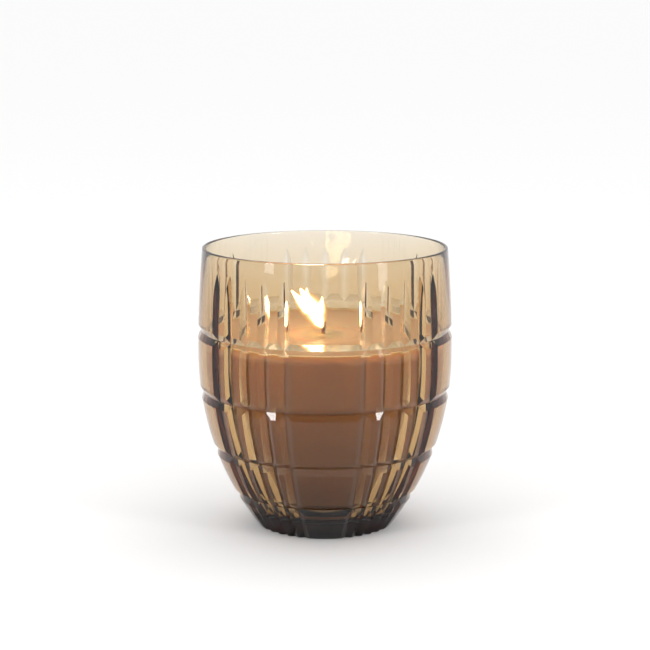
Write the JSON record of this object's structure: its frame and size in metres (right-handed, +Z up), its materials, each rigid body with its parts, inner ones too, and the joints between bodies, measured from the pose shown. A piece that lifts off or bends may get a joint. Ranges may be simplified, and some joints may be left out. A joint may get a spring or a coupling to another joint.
{
  "type": "glass container candle",
  "caption": "Barrel-shaped cut-glass candle holder filled with poured wax round a cotton wick, with upright and ring-shaped V cuts and a flat foot.",
  "frame": {"origin": "centre of the foot, on the surface that the candle stands on", "axes": "+Z up along the axis of the glass, -Y towards the front, through the middle of the plain front panel, +X to the right as seen from the front"},
  "size_m": [0.1, 0.0999, 0.111],
  "materials": {
    "amber_glass": "polished smoky amber cut glass",
    "wax": "smooth poured tan wax, slightly glossy where it is melted",
    "cotton_wick": "braided cotton soaked in wax, charred at its top",
    "tab_metal": "thin stamped sheet metal",
    "adhesive": "soft white adhesive foam"
  },
  "bodies": {
    "root": {"glass_vessel": "amber_glass", "wax_fill": "wax", "wick": "cotton_wick", "wick_tab": "tab_metal", "adhesive_dot": "adhesive"}
  },
  "joints": []
}
